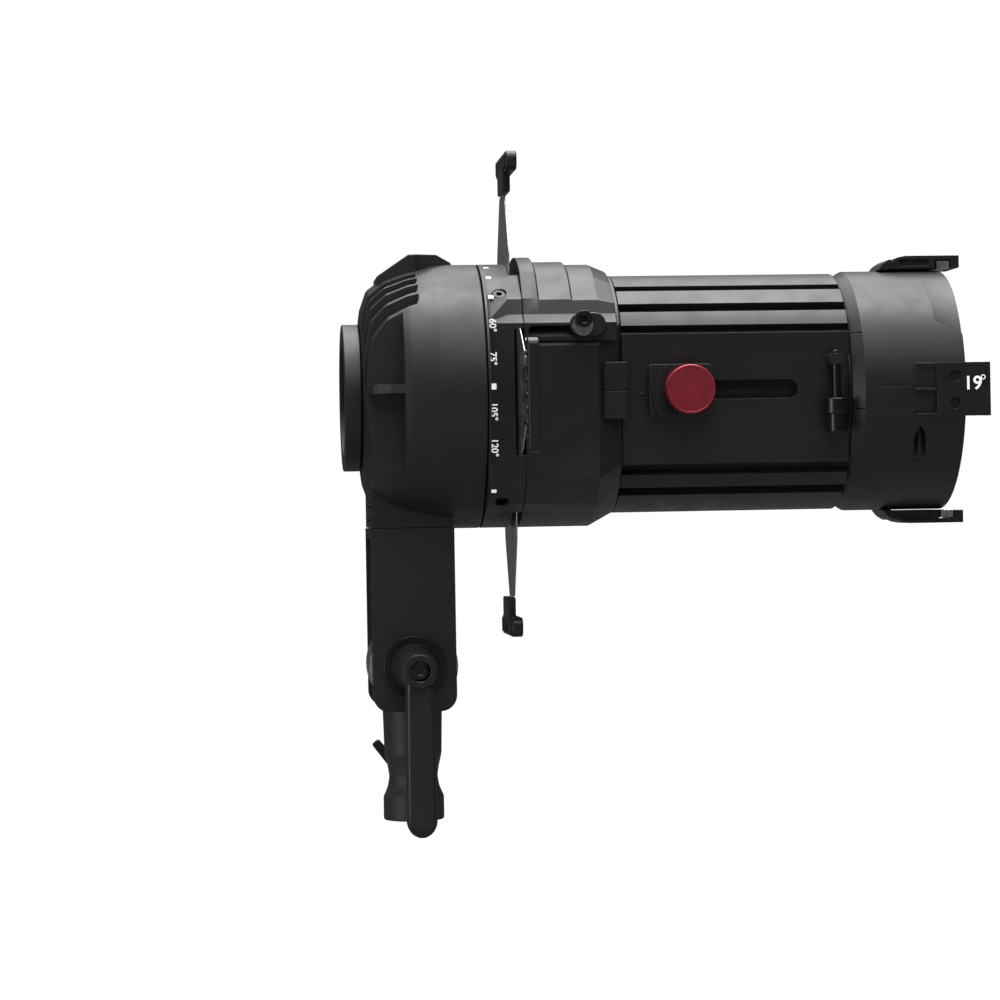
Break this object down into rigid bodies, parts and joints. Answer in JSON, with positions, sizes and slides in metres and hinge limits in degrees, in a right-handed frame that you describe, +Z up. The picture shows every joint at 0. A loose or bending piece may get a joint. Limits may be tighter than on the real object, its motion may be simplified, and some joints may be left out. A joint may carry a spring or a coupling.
{
  "type": "ellipsoidal spotlight",
  "caption": "Zoom-free profile spotlight head: finned lamp housing, turning gate with framing shutters, ribbed lens tube and accessory ring on a tilting stand yoke.",
  "frame": {"origin": "centre of the stand socket's mouth, at the bottom face of the stand receiver", "axes": "+X along the beam, +Z up along the stand socket, -Y towards the operator's side with the focus knob and tilt lever"},
  "size_m": [0.294, 0.225, 0.3127],
  "materials": {
    "castings": "fine satin black powder coat",
    "yoke_plate": "matt black powder coat",
    "black_steel": "black oxide",
    "bare_steel": "brushed stainless steel",
    "red_knob": "red anodised with a turned face",
    "lever": "black coated zinc lever",
    "optic": "polished, coated glass",
    "label": "satin black with white figures"
  },
  "bodies": {
    "receiver": {"stand_receiver": "castings", "friction_disc_near": "bare_steel", "friction_disc_far": "bare_steel"},
    "socket_lock": {"socket_lock_screw": "black_steel", "socket_lock_arm": "lever"},
    "head": {"yoke_bracket": "yoke_plate", "yoke_screw_front": "black_steel", "yoke_screw_rear": "black_steel", "rear_housing": "castings", "mount_flange": "castings", "condenser_holder": "castings", "condenser_lens_rear": "optic", "condenser_lens_front": "optic", "condenser_retainer_rear": "black_steel", "condenser_retainer_front": "black_steel", "bearing_ring": "bare_steel", "tilt_nut": "black_steel"},
    "tilt_bolt": {"tilt_bolt": "black_steel", "tilt_washer": "black_steel", "tilt_lever_screw": "black_steel"},
    "tilt_lever": {"tilt_lever": "lever", "tilt_lever_spring": "bare_steel"},
    "gate": {"gate_ring": "castings", "gate_housing": "castings", "aperture_plate": "black_steel", "shutter_retainer": "black_steel", "gate_screw_near_upper": "black_steel", "gate_screw_near_lower": "black_steel", "gate_screw_far_lower": "black_steel", "gate_screw_far_upper": "black_steel"},
    "shutter_top": {"shutter_top_blade": "bare_steel", "shutter_top_handle": "castings"},
    "shutter_near": {"shutter_near_blade": "bare_steel", "shutter_near_handle": "castings"},
    "shutter_bottom": {"shutter_bottom_blade": "bare_steel", "shutter_bottom_handle": "castings"},
    "shutter_far": {"shutter_far_blade": "bare_steel", "shutter_far_handle": "castings"},
    "slot_cover": {"slot_cover": "castings", "cover_clamp_near": "castings", "cover_clamp_far": "castings"},
    "cover_screw_near": {"cover_screw_near": "black_steel"},
    "cover_screw_far": {"cover_screw_far": "black_steel"},
    "tube_latch": {"tube_latch": "castings"},
    "lens_tube": {"lens_barrel": "castings"},
    "focus_carriage": {"lens_carriage": "castings", "lens_rear": "optic", "lens_front": "optic", "lens_retainer": "black_steel", "slider_plate": "castings"},
    "focus_knob": {"focus_knob": "red_knob"},
    "front_ring": {"front_ring": "castings", "accessory_clip_top": "castings", "accessory_clip_bottom": "castings", "accessory_clip_far": "castings", "label_bracket": "label"},
    "ring_clamp": {"ring_clamp_screw": "black_steel"}
  },
  "joints": [
    {"name": "socket_lock_turn", "type": "hinge", "parent": "receiver", "child": "socket_lock", "pos_m": [0, 0.02, 0.014], "axis": [0, 1, 0], "range_deg": [-30, 30]},
    {"name": "head_tilt", "type": "hinge", "parent": "receiver", "child": "head", "pos_m": [0, 0, 0.0725], "axis": [0, 1, 0], "range_deg": [-90, 75]},
    {"name": "tilt_lever_turn", "type": "hinge", "parent": "head", "child": "tilt_bolt", "pos_m": [0, 0, 0.0725], "axis": [0, 1, 0], "range_deg": [-60, 60]},
    {"name": "tilt_lever_lift", "type": "slide", "parent": "tilt_bolt", "child": "tilt_lever", "axis": [0, -1, 0], "range_m": [0, 0.0022], "stiffness_N_per_m": 900},
    {"name": "gate_turn", "type": "hinge", "parent": "head", "child": "gate", "pos_m": [0.04, 0, 0.1975], "axis": [1, 0, 0], "range_deg": [-45, 45]},
    {"name": "shutter_top_push", "type": "slide", "parent": "gate", "child": "shutter_top", "axis": [0, 0, -1], "range_m": [0, 0.028]},
    {"name": "shutter_near_push", "type": "slide", "parent": "gate", "child": "shutter_near", "axis": [0, 1, 0], "range_m": [0, 0.028]},
    {"name": "shutter_bottom_push", "type": "slide", "parent": "gate", "child": "shutter_bottom", "axis": [0, 0, 1], "range_m": [0, 0.028]},
    {"name": "shutter_far_push", "type": "slide", "parent": "gate", "child": "shutter_far", "axis": [0, -1, 0], "range_m": [0, 0.028]},
    {"name": "slot_cover_slide", "type": "slide", "parent": "gate", "child": "slot_cover", "axis": [1, 0, 0], "range_m": [0, 0.02]},
    {"name": "cover_screw_near_turn", "type": "hinge", "parent": "slot_cover", "child": "cover_screw_near", "pos_m": [0.0769, -0.056, 0.2298], "axis": [0, 1, 0], "range_deg": [-180, 180]},
    {"name": "cover_screw_far_turn", "type": "hinge", "parent": "slot_cover", "child": "cover_screw_far", "pos_m": [0.0769, 0.056, 0.2298], "axis": [0, 1, 0], "range_deg": [-180, 180]},
    {"name": "tube_latch_press", "type": "slide", "parent": "gate", "child": "tube_latch", "axis": [-1, 0, 0], "range_m": [0, 0.003], "stiffness_N_per_m": 400},
    {"name": "lens_tube_release", "type": "slide", "parent": "gate", "child": "lens_tube", "axis": [1, 0, 0], "range_m": [0, 0.04]},
    {"name": "focus_slide", "type": "slide", "parent": "lens_tube", "child": "focus_carriage", "axis": [1, 0, 0], "range_m": [0, 0.047]},
    {"name": "focus_knob_turn", "type": "hinge", "parent": "focus_carriage", "child": "focus_knob", "pos_m": [0.1253, -0.05, 0.1975], "axis": [0, 1, 0], "range_deg": [-180, 180]},
    {"name": "front_ring_turn", "type": "hinge", "parent": "lens_tube", "child": "front_ring", "pos_m": [0.21, 0, 0.1975], "axis": [1, 0, 0], "range_deg": [-90, 90]},
    {"name": "ring_clamp_turn", "type": "hinge", "parent": "lens_tube", "child": "ring_clamp", "pos_m": [0.1933, -0.0535, 0.1975], "axis": [0, 0, 1], "range_deg": [-180, 180]}
  ]
}
